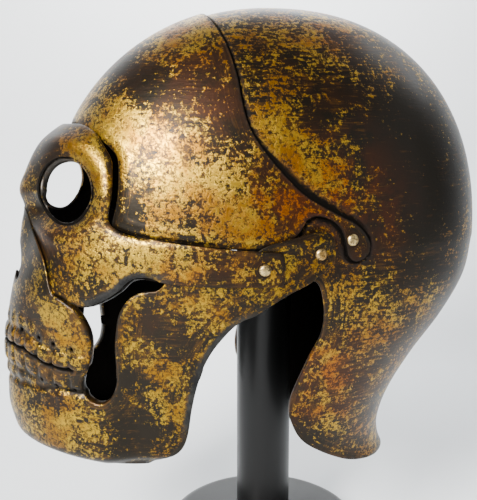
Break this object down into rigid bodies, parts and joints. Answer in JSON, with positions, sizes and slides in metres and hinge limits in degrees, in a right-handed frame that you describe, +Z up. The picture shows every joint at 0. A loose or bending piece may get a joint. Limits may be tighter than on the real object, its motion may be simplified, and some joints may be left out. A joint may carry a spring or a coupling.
{
  "type": "skull helmet on a display stand",
  "caption": "Helmet shaped like a human skull with pierced eyes, nose and teeth, a hinged face and jaw, and a flared nape guard, on a round wooden post stand.",
  "frame": {"origin": "centre of the flat underside of the stand base, on the post axis", "axes": "+Z up, the face looks along -Y, the wearer left hand is +X"},
  "size_m": [0.186, 0.2982, 0.3506],
  "materials": {
    "dark_brass": "brass-plated steel with dark brown patina, glossy",
    "plate_brass": "brass-plated steel, brushed highlights through dark patina",
    "mask_brass": "brass-plated steel, brushed highlights through dark patina",
    "jaw_brass": "brass-plated steel, dark patina rubbed through on the teeth and edges",
    "rivet_brass": "bright polished brass",
    "black_wood": "black satin lacquer"
  },
  "bodies": {
    "skull": {"skull_dome": "dark_brass", "frontal_plate": "plate_brass", "plate_rivet_left": "rivet_brass", "plate_rivet_right": "rivet_brass", "pivot_rivet_left": "rivet_brass", "pivot_rivet_right": "rivet_brass", "stand_cap": "black_wood", "stand_post": "black_wood", "stand_base": "black_wood"},
    "visor": {"face_mask": "mask_brass", "jaw_plate": "jaw_brass", "strap_rivet_left": "rivet_brass", "strap_rivet_right": "rivet_brass"}
  },
  "joints": [
    {"name": "visor_pivot", "type": "hinge", "parent": "skull", "child": "visor", "pos_m": [0, 0.0047, 0.214], "axis": [-1, 0, 0], "range_deg": [0, 55]}
  ]
}
